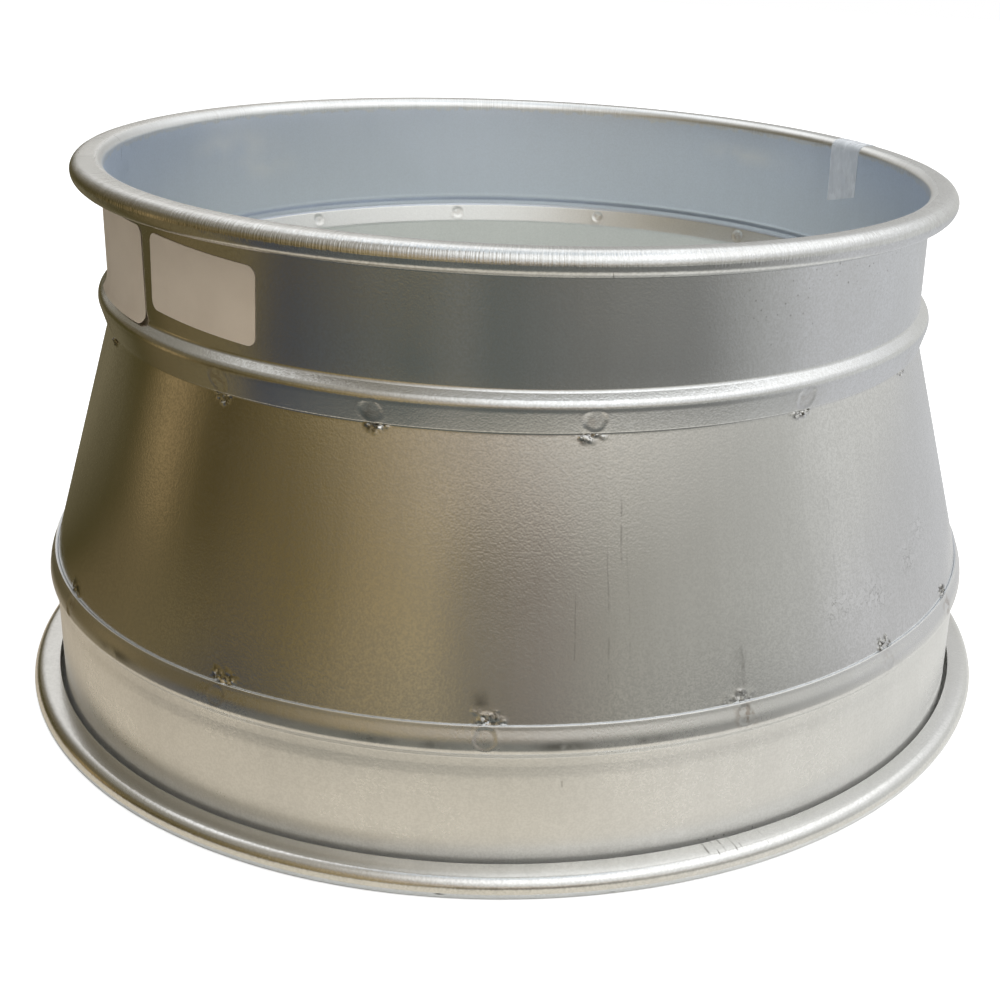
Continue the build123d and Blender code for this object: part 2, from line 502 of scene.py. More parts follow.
@dataclass(frozen=True)
class GalvanisedSheet:
    """Zinc coated sheet steel: satin and sandy, with rolling lines, marks, scratches and weld heat."""

    name: str
    tone: Colour = (0.82, 0.82, 0.805, 1.0)
    dull: Colour = (0.58, 0.58, 0.56, 1.0)
    # Painted light: a bluish tint on the face that looks at the axis, for the cool sky light falling into the bore.
    inner: Colour = (0.92, 0.97, 1.07, 1.0)
    stain: Colour = (0.17, 0.165, 0.145, 1.0)
    heat: Colour = (0.30, 0.21, 0.14, 1.0)
    soot: Colour = (0.10, 0.09, 0.075, 1.0)
    bright: Colour = (0.90, 0.90, 0.89, 1.0)
    rough: float = 0.16
    grain_rough: float = 0.06
    cloud_rough: float = 0.04
    inner_rough: float = 0.12
    wall_rough: float = 0.0
    bump: float = 0.32
    bump_depth: float = 0.12
    sand: float = 0.40
    cloud: float = 0.22
    streak: float = 0.10
    line_share: float = 0.05
    lines_around: float = 30.0
    lines_along: float = 1400.0
    inner_wear: float = 0.35
    lip_low: float = 0.0
    lip_high: float = 0.0
    lip_edge: float = 0.6
    lip_brush: float = 0.0
    foot_r: float = 0.0
    foot_rough: float = 0.34
    scratches: tuple[Scratch, ...] = ()

    def material(self, effects: SheetEffects, kinds: set[MarkKind]) -> bpy.types.Material:
        """Builds the material.

        Args:
            effects: Node groups that the sheet pieces share.
            kinds: Kinds of mark that the piece carries as vertex attributes.

        Returns:
            The material, which also reads the vertex attributes inside, flash and burn.
        """
        return SheetShader(self, effects).build(kinds)


class SheetShader:
    """The node tree of one sheet finish."""

    def __init__(self, sheet: GalvanisedSheet, effects: SheetEffects) -> None:
        """Starts the material.

        Args:
            sheet: The finish, with its tones and shares.
            effects: Node groups that the sheet pieces share.
        """
        self.sheet = sheet
        self.effects = effects
        self.made, self.graph = new_material(sheet.name)
        self.spot = self.graph.place()

    def build(self, kinds: set[MarkKind]) -> bpy.types.Material:
        """Lays the colour in layers, with the kinds of mark that the piece carries, and ends the material."""
        graph, sheet = self.graph, self.sheet
        inside = self.painted("inside")
        on_lip = self.lip_mask()
        wall = graph.math("SUBTRACT", 1.0, on_lip)
        grain = self.effects.grain.place(graph)
        relief = grain["Relief"]
        colour = self.weathered(grain, inside)
        if sheet.lip_brush:
            brush = self.effects.lines.place(graph, around=1500.0, along=60.0)["Tone"]
            patchy = graph.remap(grain["Cloud"], 0.0, 1.0, 0.35, sheet.lip_brush)
            brushed = graph.times(graph.times(brush, on_lip), patchy)
            colour = graph.cover(colour, sheet.dull, brushed, 0.5)
            relief = graph.scaled(brushed, 2.0, relief)
        # Painted light: the inside face, off the lip, takes the bluish tint of the sky light falling into the bore.
        colour = graph.blend(graph.times(inside, wall), colour, sheet.inner, "MULTIPLY")
        for kind in MarkKind:
            if kind in kinds:
                colour = self.marked(kind, colour)
        colour = self.scratched(self.welded(colour))
        rough = self.roughness(grain, inside, wall)
        looks = {"Base Color": colour, "Roughness": rough, "Metallic": 1.0}
        graph.coat(relief, sheet.bump, sheet.bump_depth, looks)
        return self.made

    def weathered(self, grain: Any, inside: Socket) -> Socket:
        """Colour of the bare sheet.

        Args:
            grain: Outputs of the grain group.
            inside: 1 on the face that looks at the axis, which has kept cleaner.

        Returns:
            The colour, duller in clouds, streaks, grains and rolling lines.
        """
        graph, sheet = self.graph, self.sheet
        lines = self.effects.lines.place(graph, around=sheet.lines_around, along=sheet.lines_along)["Tone"]
        streaks = self.effects.lines.place(graph, around=170.0, along=4.0)["Tone"]
        worn = graph.scaled(inside, sheet.inner_wear - 1.0, 1.0)
        colour: Any = sheet.tone
        shares = (
            (grain["Cloud"], sheet.cloud),
            (streaks, sheet.streak),
            (grain["Tone"], sheet.sand),
            (lines, sheet.line_share),
        )
        for mask, share in shares:
            colour = graph.cover(colour, sheet.dull, mask, graph.times(worn, share))
        return colour

    def marked(self, kind: MarkKind, colour: Socket) -> Socket:
        """Colour with the marks of one kind on it, where the vertex attribute has them."""
        graph, sheet = self.graph, self.sheet
        share = self.painted(kind.value)
        if kind is MarkKind.SMEAR:
            return graph.cover(colour, sheet.stain, self.patches(share, 160.0, 3.0, 0.30, 0.56), 0.85)
        # Painted highlights: soft lighter patches laid over the sheet where the attribute has them.
        if kind is MarkKind.PAINTED_HIGHLIGHT:
            return graph.cover(colour, sheet.bright, self.patches(share, 60.0, 2.0, 0.30, 0.60), 0.7)
        if kind is MarkKind.PITTED:
            pits = graph.times(self.effects.pits.place(graph)["Mask"], share)
            return graph.cover(colour, sheet.soot, pits, 0.6)
        flakes = graph.noise(self.spot, 360.0, 3.0)
        flake = graph.times(share, graph.remap(flakes, 0.50, 0.55))
        ridge = graph.math("ABSOLUTE", graph.math("SUBTRACT", flakes, 0.5))
        edge = graph.times(share, graph.remap(ridge, 0.028, 0.006))
        return graph.cover(graph.cover(colour, sheet.bright, flake, 0.5), sheet.stain, edge, 0.5)

    def welded(self, colour: Socket) -> Socket:
        """Colour with the welds' brown heat, soot and bright flash on it."""
        graph, sheet = self.graph, self.sheet
        flash, burn = (self.painted(name) for name in ("flash", "burn"))
        speck = graph.noise(self.spot, 950.0)
        bits = graph.times(flash, graph.remap(speck, 0.47, 0.56))
        shine = graph.times(flash, graph.remap(speck, 0.44, 0.36))
        colour = graph.cover(colour, sheet.heat, self.patches(burn, 420.0, 2.0, 0.44, 0.60), 0.6)
        colour = graph.cover(colour, sheet.soot, bits, 0.9)
        return graph.cover(colour, sheet.bright, shine, 0.7)

    def scratched(self, colour: Socket) -> Socket:
        """Colour with the single scratches on it."""
        graph, sheet = self.graph, self.sheet
        drift = graph.noise(self.spot, 55.0, 0.0)
        broken = graph.remap(graph.noise(self.spot, 230.0), 0.36, 0.56)
        for mark in sheet.scratches:
            stroke = self.effects.stroke.place(
                graph,
                bearing=mark.bearing,
                low=mark.low * MM,
                high=mark.high * MM,
                width=mark.width * MM,
                lean=mark.lean,
                soft=mark.soft * MM,
                drift=drift,
                broken=broken,
            )["Mask"]
            shade = sheet.bright if mark.shade is Shade.BRIGHT else sheet.soot
            colour = graph.cover(colour, shade, stroke, mark.strength)
        return colour

    def roughness(self, grain: Any, inside: Socket, wall: Socket) -> Socket:
        """Roughness: more in grains and clouds, on the inside, off the lip and at the wall's foot."""
        sheet = self.sheet
        rough: Any = sheet.rough
        shares = [
            (grain["Tone"], sheet.grain_rough),
            (grain["Cloud"], sheet.cloud_rough),
            (inside, sheet.inner_rough),
            (wall, sheet.wall_rough),
        ]
        if sheet.foot_r:
            shares.append((self.foot_mask(), sheet.foot_rough))
        for mask, share in shares:
            rough = self.graph.scaled(mask, share, rough)
        return rough

    def patches(self, share: Socket, scale: float, detail: float, low: float, high: float) -> Socket:
        """A share broken into soft patches by a noise that is cut between two levels."""
        graph = self.graph
        return graph.times(share, graph.remap(graph.noise(self.spot, scale, detail), low, high))

    def painted(self, name: str) -> Socket:
        """Value of a vertex attribute."""
        return self.graph.add("ShaderNodeAttribute", attribute_name=name).outputs["Fac"]

    def foot_mask(self) -> Socket:
        """Mask of the wall's dusty foot, behind the lip's free edge."""
        graph, sheet = self.graph, self.sheet
        fade_r, fade_z = 1.0, 6.0
        near = graph.remap(graph.radius(self.spot), (sheet.foot_r + fade_r) * MM, sheet.foot_r * MM)
        height = graph.axes(self.spot)["Z"]
        return graph.times(near, graph.remap(height, (sheet.lip_high + fade_z) * MM, sheet.lip_high * MM))

    def lip_mask(self) -> Socket:
        """Mask of the rolled lip, by height, with ragged ends where it is brushed."""
        graph, sheet = self.graph, self.sheet
        level = graph.axes(self.spot)["Z"]
        if sheet.lip_brush:
            ragged = graph.scaled(graph.noise(self.spot, 260.0, 1.0), 0.004, -0.002)
            level = graph.math("ADD", level, ragged)
        low, high, edge = sheet.lip_low, sheet.lip_high, sheet.lip_edge
        above = graph.remap(level, (low - edge) * MM, (low + edge) * MM)
        below = graph.remap(level, (high + edge) * MM, (high - edge) * MM)
        return graph.times(above, below)


@dataclass(frozen=True)
class LabelPaper:
    """Coated white paper, a little greyed, with faint fibre and soft worn clouds."""

    name: str = "label_paper"
    tone: Colour = (0.66, 0.535, 0.40, 1.0)
    worn: Colour = (0.56, 0.44, 0.32, 1.0)
    rough: float = 0.62
    bump: float = 0.15
    bump_depth: float = 0.08

    def material(self) -> bpy.types.Material:
        """Builds the material."""
        made, graph = new_material(self.name)
        place = graph.place()
        fibre = graph.noise(place, 2600.0, 4.0)
        cloud = graph.remap(graph.noise(place, 70.0, 4.0), 0.35, 0.7)
        colour = graph.cover(self.tone, self.worn, cloud, 0.35)
        colour = graph.blend(graph.remap(fibre, 0.5, 0.8, 0.0, 0.25), colour, self.worn)
        graph.coat(fibre, self.bump, self.bump_depth, {"Base Color": colour, "Roughness": self.rough})
        return made


@dataclass(frozen=True)
class ClearTape:
    """Clear film with a frosted face and cloudy adhesive."""

    name: str = "clear_tape"
    tone: Colour = (0.93, 0.96, 1.0, 1.0)
    bump: float = 0.2
    bump_depth: float = 0.1

    def material(self) -> bpy.types.Material:
        """Builds the material."""
        made, graph = new_material(self.name)
        cloud = graph.noise(graph.vector("MULTIPLY", graph.place(), (1.0, 1.0, 0.45)), 210.0, 3.0)
        looks = {
            "Base Color": self.tone,
            "Roughness": graph.remap(cloud, 0.3, 0.7, 0.18, 0.32),
            "Alpha": graph.remap(cloud, 0.35, 0.65, 0.58, 0.82),
        }
        graph.coat(cloud, self.bump, self.bump_depth, looks)
        return made


@dataclass(frozen=True)
class Corner:
    """One corner of a sheet's line in section, with the radius that it is bent to."""

    r: float
    z: float
    bend: float = 0.0


@dataclass(frozen=True)
class Mark:
    """A soft mark on a sheet: where its middle is, and how far it reaches around and along."""

    bearing: float
    z: float
    around: float
    along: float
    strength: float = 1.0
    kind: MarkKind = MarkKind.SMEAR


@dataclass(frozen=True)
class WeldRow:
    """Spot welds around a seam, each a shallow electrode mark with a raised rim."""

    bearings: tuple[float, ...]
    radius: float
    z: float
    side: Facing
    depth: float = 0.12
    spot: float = 4.2
    room: float = 2.6
    stain: float = 3.0

    def window(self) -> float:
        """Half the turn in degrees that a weld takes, with some room."""
        return math.degrees((self.spot + self.room) / self.radius)


@dataclass(frozen=True)
class FlashRow:
    """Crinkled metal that the welds have thrown out along a sleeve's edge."""

    bearings: tuple[float, ...]
    radius: float
    z: float
    side: Facing = Facing.OUTWARD
    around: float = 4.6
    along: float = 2.4
    height: float = 1.5
    shift: float = 2.2
    room: float = 2.4

    def window(self) -> float:
        """Half the turn in degrees that a burst takes, with room for its shift."""
        return math.degrees((self.around + self.room) / self.radius)


class SheetPiece:
    """A ring of rolled sheet: draws its section, turns it round the axis and thickens it."""

    thickness: float = 1.0
    edge_round: float = 0.24
    edge_turn: float = 60.0
    bend_steps: int = 7
    bend_turn: float = 5.0
    fine_step: float = 0.55
    coarse_turn: float = 1.6
    weld_turn: float = 6.0
    face_lean: float = 0.2

    def __init__(self, name: str, node: str, corners: list[Corner], facing: Facing) -> None:
        """Keeps the piece's line.

        Args:
            name: Name of the finished piece.
            node: CAD node that it stands for.
            corners: Corners of its line in section.
            facing: Which way the drawn face looks.
        """
        self.name = name
        self.node = node
        self.corners = corners
        self.facing = facing
        self.welds: list[WeldRow] = []
        self.bursts: list[FlashRow] = []
        self.marks: tuple[Mark, ...] = ()
        self.fine_bands: list[tuple[float, float, float]] = []
        self.pitch = 6.0
        self.start = 0.0
        self.mesh = bmesh.new()

    def draw_section(self, bearing: float) -> None:
        """Draws the line with rounded corners in the plane of a bearing, and cuts its straights."""
        verts = [self.mesh.verts.new(polar(c.r, bearing, c.z)) for c in self.corners]
        for pair in zip(verts, verts[1:]):
            self.mesh.edges.new(pair)
        for vert, corner in zip(verts, self.corners):
            if corner.bend:
                self.round_corner(vert, corner.bend)
        for edge in self.mesh.edges[:]:
            middle = (edge.verts[0].co.z + edge.verts[1].co.z) / 2 / MM
            steps = [step for low, high, step in self.fine_bands if low < middle < high] or [self.pitch]
            cuts = math.ceil(edge.calc_length() / MM / steps[0]) - 1
            if cuts > 0:
                bmesh.ops.subdivide_edges(self.mesh, edges=[edge], cuts=cuts)

    def round_corner(self, vert: Vert, bend: float) -> None:
        """Bevels a corner of the line to an arc of the bend's radius."""
        arms = [edge.other_vert(vert).co - vert.co for edge in vert.link_edges]
        turn = math.pi - arms[0].angle(arms[1])
        steps = max(2, math.ceil(math.degrees(turn) / self.bend_turn))
        bevel(self.mesh, [vert], "VERTICES", bend * math.tan(turn / 2), min(self.bend_steps, steps))

    def stretches(self) -> list[tuple[float, int]]:
        """Turns of the section from its first bearing: angle and steps, fine at the welds and coarse between."""
        rows = [*self.welds, *self.bursts]
        bearings = sorted({b % 360.0 for row in rows for b in row.bearings})
        half = max(row.window() for row in rows)
        fine = math.degrees(self.fine_step / max(row.radius for row in rows))
        self.start = here = bearings[0] - half
        runs = []
        for bearing in bearings:
            if bearing - half > here:
                runs.append((bearing - half - here, self.coarse_turn))
                here = bearing - half
            runs.append((bearing + half - here, fine))
            here = bearing + half
        runs.append((self.start + 360.0 - here, self.coarse_turn))
        return [(angle, max(1, math.ceil(angle / step))) for angle, step in runs]

    def turn(self) -> None:
        """Spins the section right round the axis and closes it."""
        runs = self.stretches()
        self.draw_section(self.start)
        last: list[Any] = self.mesh.verts[:] + self.mesh.edges[:]
        for angle, steps in runs:
            last = spin(self.mesh, last, angle, steps)
        bmesh.ops.remove_doubles(self.mesh, verts=self.mesh.verts[:], dist=MERGE)
        face(self.mesh, self.facing)

    def thicken(self) -> None:
        """Gives the sheet its thickness and breaks its cut edges."""
        bmesh.ops.solidify(self.mesh, geom=self.mesh.faces[:], thickness=self.thickness * MM)
        self.mesh.normal_update()
        sharp = math.radians(self.edge_turn)
        edges = [edge for edge in self.mesh.edges if edge.calc_face_angle(0.0) > sharp]
        bevel(self.mesh, edges, "EDGES", self.edge_round, 3)
        self.mesh.normal_update()

    def layer(self, name: str) -> Any:
        """New vertex attribute."""
        return self.mesh.verts.layers.float.new(name)

    def ripple(self) -> None:
        """Bends the sheet slightly in and out, and notes which face looks at the axis."""
        inside = self.layer("inside")
        for vert in self.mesh.verts:
            vert[inside] = smooth(-2.0 * vert.normal.dot(outward(vert.co)))
            vert.co += waver(vert.co)

    def band(self, z: float, reach: float) -> list[Vert]:
        """Vertices within a reach of a height."""
        return [vert for vert in self.mesh.verts if abs(vert.co.z / MM - z) < reach]

    def beside(
        self, row: WeldRow | FlashRow, band: list[Vert], bearing: float
    ) -> Iterator[tuple[Vert, Vector, float, float]]:
        """Vertices on a row's face near one of its bearings.

        Args:
            row: The row of welds or flash.
            band: Vertices near the row's height.
            bearing: The bearing.

        Yields:
            A vertex, the way out from the axis, and its distances around and along in millimetres.
        """
        for vert in band:
            turn = turn_between(bearing_of(vert.co), bearing)
            if abs(turn) > self.weld_turn:
                continue
            out = outward(vert.co)
            if vert.normal.dot(out) * row.side.value >= self.face_lean:
                yield vert, out, math.radians(turn) * row.radius, vert.co.z / MM - row.z

    def press_welds(self) -> None:
        """Sinks each weld's mark into the face that it is on, and notes where heat has stained the sheet."""
        burn = self.layer("burn")
        self.mesh.normal_update()
        for row in self.welds:
            reach = row.spot + row.stain
            band = self.band(row.z, reach)
            for bearing in row.bearings:
                size = row.spot * (1.0 + 0.14 * noise.noise(Vector((bearing, row.z, 0.3))))
                depth = row.depth * (1.0 + 0.4 * noise.noise(Vector((bearing, 0.7, row.z))))
                hot = 0.5 + noise.noise(Vector((0.2, bearing, row.z)))
                for vert, out, across, along in self.beside(row, band, bearing):
                    wobble = 0.5 * noise.noise(Vector((across * 0.3, along * 0.3, bearing)))
                    away = math.hypot(across, along) + wobble
                    if away > reach:
                        continue
                    vert[burn] = max(vert[burn], hot * smooth(1.0 - away / reach))
                    dish = -depth * smooth(3.6 * (1.0 - away / size))
                    rim = 0.4 * depth * math.exp(-(((away - size) / 0.6) ** 2))
                    vert.co += out * row.side.value * (dish + rim) * MM

    def throw_flash(self) -> None:
        """Raises the crinkled flash beside the sleeves' edges, and notes where it is."""
        flash = self.layer("flash")
        self.mesh.normal_update()
        for row in self.bursts:
            band = self.band(row.z, row.along * 1.4)
            for bearing in row.bearings:
                shift = row.shift * noise.noise(Vector((bearing * 0.7, 3.1, row.z)))
                share = 0.75 + 0.5 * noise.noise(Vector((4.3, bearing * 0.9, row.z)))
                for vert, out, across, along in self.beside(row, band, bearing):
                    away = math.hypot((across - shift) / row.around, along / row.along)
                    ragged = 0.55 * noise.noise(vert.co * 420.0)
                    amount = share * smooth(1.9 * (1.0 - away + ragged))
                    crinkle = abs(noise.noise(vert.co * 760.0)) + 0.5 * noise.noise(vert.co * 1300.0)
                    vert.co += out * (row.height * amount * crinkle * MM)
                    vert[flash] = max(vert[flash], amount)

    def stain(self) -> None:
        """Paints the soft marks into the attributes of their kinds."""
        for kind in {mark.kind for mark in self.marks}:
            self.layer(kind.value)
        for mark in self.marks:
            layer = self.mesh.verts.layers.float[mark.kind.value]
            for vert in self.mesh.verts:
                turn = turn_between(bearing_of(vert.co), mark.bearing)
                across = math.radians(turn) * vert.co.xy.length / MM / mark.around
                along = (vert.co.z / MM - mark.z) / mark.along
                share = mark.strength * smooth(1.0 - math.hypot(across, along))
                vert[layer] = max(vert[layer], share)

    def build(self, finish: GalvanisedSheet, effects: SheetEffects) -> bpy.types.Object:
        """Builds the mesh and makes the piece from it, with its finish."""
        self.turn()
        self.thicken()
        self.ripple()
        self.press_welds()
        self.throw_flash()
        self.stain()
        material = finish.material(effects, {mark.kind for mark in self.marks})
        return finish_piece(self.name, self.node, self.mesh, material)


@dataclass
class Collar:
    """A rolled-lip collar: lip, wall, ridge and the sleeve that laps the body."""

    name: str
    node: str
    mouth_z: float
    bore_r: float
    lip_out: float
    step_z: float
    ridge_r: float
    ridge_z: float
    edge_r: float
    edge_z: float
    weld_bearings: tuple[float, ...]
    finish: GalvanisedSheet
    marks: tuple[Mark, ...] = ()
    lip_h: float = 8.5
    lip_gap: float = 1.7
    root_bend: float = 3.5
    step_bend: float = 2.4
    ridge_bend: float = 2.4
    edge_round: float = 0.24
    swell: tuple[Corner, ...] = ()
    shoulder: tuple[Corner, ...] = ()
    weld_in: float = 4.2
    weld_spot: float = 4.2
    sleeve_pitch: float = 0.55

    def corners(self) -> list[Corner]:
        """Line of the collar, from the free edge of its lip to the edge of its sleeve."""
        sheet = SheetPiece.thickness
        lip_r = self.bore_r + sheet + self.lip_out
        back_z = self.mouth_z + math.copysign(self.lip_h, self.step_z - self.mouth_z)
        nose = self.lip_h / 2
        return [
            Corner(self.bore_r + sheet + self.lip_gap, back_z),
            Corner(lip_r, back_z, nose),
            Corner(lip_r, self.mouth_z, nose),
            Corner(self.bore_r, self.mouth_z, self.root_bend),
            *self.swell,
            Corner(self.bore_r, self.step_z, self.step_bend),
            Corner(self.ridge_r, self.ridge_z, self.ridge_bend),
            *self.shoulder,
            Corner(self.edge_r, self.edge_z),
        ]

    def build(self, effects: SheetEffects) -> bpy.types.Object:
        """Builds and dresses the collar."""
        piece = SheetPiece(self.name, self.node, self.corners(), Facing.INWARD)
        piece.edge_round = self.edge_round
        up = math.copysign(1.0, self.ridge_z - self.edge_z)
        share = self.weld_in / abs(self.ridge_z - self.edge_z)
        radius = self.edge_r + (self.ridge_r - self.edge_r) * share
        weld_z = self.edge_z + up * self.weld_in
        low, high = sorted((self.edge_z, self.ridge_z))
        piece.welds = [WeldRow(self.weld_bearings, radius, weld_z, Facing.OUTWARD, spot=self.weld_spot)]
        piece.fine_bands = [(low, high, self.sleeve_pitch)]
        piece.marks = self.marks
        return piece.build(self.finish, effects)


@dataclass
class Body:
    """The tapered body: its waist flared into the small sleeve, its foot held in the large one."""

    name: str
    node: str
    top: tuple[float, float]
    waist: tuple[float, float]
    foot: tuple[float, float]
    top_welds: tuple[float, ...]
    foot_welds: tuple[float, ...]
    finish: GalvanisedSheet
    marks: tuple[Mark, ...] = ()
    waist_bend: float = 2.0
    weld_z: float = 146.4
    top_flash_z: float = 141.2
    foot_flash_z: float = 57.8
    breaks: tuple[float, ...] = (136.5, 62.5, 55.0)
    seam_pitch: float = 0.62

    def radius_at(self, z: float) -> float:
        """Radius of the taper at a height."""
        share = (self.waist[1] - z) / (self.waist[1] - self.foot[1])
        return self.waist[0] + (self.foot[0] - self.waist[0]) * share

    def build(self, effects: SheetEffects) -> bpy.types.Object:
        """Builds and dresses the body."""
        corners = [
            Corner(*self.top),
            Corner(*self.waist, self.waist_bend),
            *(Corner(self.radius_at(z), z) for z in self.breaks),
            Corner(*self.foot),
        ]
        waist_r, foot_r = self.waist[0], self.foot[0]
        upper, middle, lower = self.breaks
        piece = SheetPiece(self.name, self.node, corners, Facing.OUTWARD)
        piece.fine_step = 0.72
        piece.pitch = 5.5
        piece.welds = [WeldRow(self.top_welds, waist_r, self.weld_z, Facing.INWARD, depth=0.2, spot=2.6)]
        piece.bursts = [
            FlashRow(self.top_welds, waist_r, self.top_flash_z),
            FlashRow(self.foot_welds, foot_r, self.foot_flash_z, around=5.8, along=3.2),
        ]
        piece.fine_bands = [(upper, self.top[1], self.seam_pitch), (lower, middle, self.seam_pitch)]
        piece.marks = self.marks
        return piece.build(self.finish, effects)


@dataclass
class Sticker:
    """A paper sticker on the small wall, with rounded corners, bent to the wall."""

    name: str
    node: str
    wide: float
    top_z: float
    foot_z: float
    bearing: float
    tilt: float = 0.0
    wall_r: float = 153.5
    thickness: float = 0.12
    corner_r: float = 3.2
    corner_steps: int = 6
    strip: float = 1.6
    tail: float = 0.0
    tail_bend: float = 7.0
    tail_turn: float = 52.7

    def outline(self) -> Mesh:
        """Flat sticker about the origin: x is its width and y its height."""
        mesh = bmesh.new()
        high = self.top_z - self.foot_z
        bmesh.ops.create_grid(mesh, x_segments=1, y_segments=1, size=0.5)
        bmesh.ops.scale(mesh, vec=(self.wide * MM, high * MM, 1.0), verts=mesh.verts[:])
        bevel(mesh, mesh.verts[:], "VERTICES", self.corner_r, self.corner_steps)
        return mesh

    def slice_up(self, mesh: Mesh, axis: Vector, length: float) -> None:
        """Cuts the flat sticker into strips across an axis, so that it can bend."""
        count = int(length / self.strip)
        for index in range(1, count):
            cut(mesh, axis * ((index / count - 0.5) * length * MM), axis)

    def wrap(self, point: Vector) -> Vector:
        """Place on the wall of a point of the flat sticker, its z being the distance off the face."""
        middle = (self.top_z + self.foot_z) / 2
        z = middle + point.y / MM
        lift = point.z / MM
        reach = self.wall_r + lift
        bearing = self.bearing + math.degrees(point.x / MM / self.wall_r)
        turn = math.radians(self.tail_turn)
        bend_z = self.foot_z + self.tail + self.tail_bend * math.tan(turn / 2)
        if self.tail and z < bend_z:
            angle = min((bend_z - z) / self.tail_bend, turn)
            spare = max((bend_z - z) - self.tail_bend * turn, 0.0)
            inner = self.tail_bend - lift
            reach = self.wall_r + self.tail_bend - inner * math.cos(angle) + spare * math.sin(angle)
            z = bend_z - inner * math.sin(angle) - spare * math.cos(angle)
        return polar(reach, bearing, z)

    def build(self, material: bpy.types.Material) -> bpy.types.Object:
        """Builds and dresses the sticker."""
        mesh = self.outline()
        tilt = Matrix.Rotation(math.radians(self.tilt), 3, "Z")
        bmesh.ops.rotate(mesh, cent=(0.0, 0.0, 0.0), matrix=tilt, verts=mesh.verts[:])
        self.slice_up(mesh, Vector((1.0, 0.0, 0.0)), self.wide)
        if self.tail:
            self.slice_up(mesh, Vector((0.0, 1.0, 0.0)), self.top_z - self.foot_z)
        bmesh.ops.recalc_face_normals(mesh, faces=mesh.faces[:])
        mesh.normal_update()
        if next(iter(mesh.faces)).normal.z < 0:
            bmesh.ops.reverse_faces(mesh, faces=mesh.faces[:])
        bmesh.ops.solidify(mesh, geom=mesh.faces[:], thickness=-self.thickness * MM)
        lowest = min(vert.co.z for vert in mesh.verts)
        for vert in mesh.verts:
            vert.co.z -= lowest
            vert.co = self.wrap(vert.co)
            vert.co += waver(vert.co)
        mesh.normal_update()
        return finish_piece(self.name, self.node, mesh, material)


@dataclass
class TapeStrip:
    """Clear tape over the small lip, its slanted end hanging in the bore."""

    name: str = "tape_film"
    node: str = "tape_strip"
    bearing: float = 116.3
    wide: float = 19.0
    spare: float = 0.2
    hang: float = 24.6
    slant: float = 14.0
    thickness: float = 0.07
    off: float = 0.1
    bore_r: float = 152.4
    lip_r: float = 163.5
    mouth_z: float = 200.0
    lip_h: float = 8.5
    root_bend: float = 3.5
    steps: int = 16

    def build(self, material: bpy.types.Material) -> bpy.types.Object:
        """Builds and dresses the tape."""
        nose = self.lip_h / 2
        face_r = self.bore_r - self.off
        top_z = self.mouth_z + self.off
        tip_r = self.lip_r + self.off
        corners = [
            Corner(face_r, self.mouth_z - self.hang - self.wide * self.spare),
            Corner(face_r, top_z, self.root_bend + self.off),
            Corner(tip_r, top_z, nose + self.off),
            Corner(tip_r, self.mouth_z - nose),
        ]
        strip = SheetPiece(self.name, self.node, corners, Facing.INWARD)
        half = math.degrees(0.6 * self.wide / self.bore_r)
        strip.draw_section(self.bearing - half)
        mesh = strip.mesh
        spin(mesh, mesh.verts[:] + mesh.edges[:], 2 * half, self.steps)
        bmesh.ops.remove_doubles(mesh, verts=mesh.verts[:], dist=MERGE)
        self.trim(mesh)
        face(mesh, strip.facing)
        bmesh.ops.solidify(mesh, geom=mesh.faces[:], thickness=-self.thickness * MM)
        for vert in mesh.verts:
            vert.co += waver(vert.co)
        mesh.normal_update()
        return finish_piece(self.name, self.node, mesh, material)

    def trim(self, mesh: Mesh) -> None:
        """Cuts the tape's two sides and its slanted end."""
        side = polar(1.0 / MM, self.bearing + 90.0, 0.0)
        tilt = math.radians(self.slant)
        end = UP * math.cos(tilt) + side * math.sin(tilt)
        foot = polar(self.bore_r, self.bearing, self.mouth_z - self.hang)
        half = self.wide / 2 * MM
        for place, out in ((side * half, side), (side * -half, -side), (foot, -end)):
            cut(mesh, place, out, drop=True)


@dataclass(frozen=True)
class Panel:
    """A soft light: a square lamp that looks at the object."""

    name: str
    bearing: float
    distance: float
    height: float
    size: float
    power: float
    aim_z: float = 0.1

    def build(self) -> bpy.types.Object:
        """Hangs the lamp and aims it at the middle of the object."""
        light = bpy.data.lights.new(self.name, "AREA")
        light.shape = "SQUARE"
        light.size = self.size
        light.energy = self.power
        lamp = in_scene(self.name, light)
        place = polar(self.distance / MM, self.bearing, self.height / MM)
        aim = UP * self.aim_z - place
        lamp.matrix_world = Matrix.Translation(place) @ aim.to_track_quat("-Z", "Y").to_matrix().to_4x4()
        return lamp


@dataclass
class Camera:
    """The photograph's camera, in a picture of 1000 by 1000."""

    name: str = "photo_camera"
    picture: float = 1000.0
    sensor: float = 36.0
    focal: float = 1509.97
    distance: float = 582.29
    height: float = 295.88
    pitch: float = 0.3443
    yaw: float = 0.1150
    roll: float = 0.0610
    centre: tuple[float, float] = (686.89, 439.96)
    clip_start: float = 0.01

    def build(self) -> bpy.types.Object:
        """Places the camera and makes it the scene's own."""
        flat = math.cos(self.pitch)
        ahead = Vector((math.sin(self.yaw) * flat, math.cos(self.yaw) * flat, -math.sin(self.pitch)))
        level = ahead.cross(UP).normalized()
        upright = level.cross(ahead)
        right = level * math.cos(self.roll) + upright * math.sin(self.roll)
        up = upright * math.cos(self.roll) - level * math.sin(self.roll)
        turned = Matrix((right, up, -ahead)).transposed().to_4x4()
        lens = bpy.data.cameras.new(self.name)
        lens.sensor_fit = "HORIZONTAL"
        lens.sensor_width = self.sensor
        lens.lens = self.focal / self.picture * self.sensor
        lens.shift_x = (self.picture / 2 - self.centre[0]) / self.picture
        lens.shift_y = (self.centre[1] - self.picture / 2) / self.picture
        lens.clip_start = self.clip_start
        camera = in_scene(self.name, lens)
        camera.matrix_world = Matrix.Translation(polar(self.distance, 0.0, self.height)) @ turned
        bpy.context.scene.camera = camera
        return camera


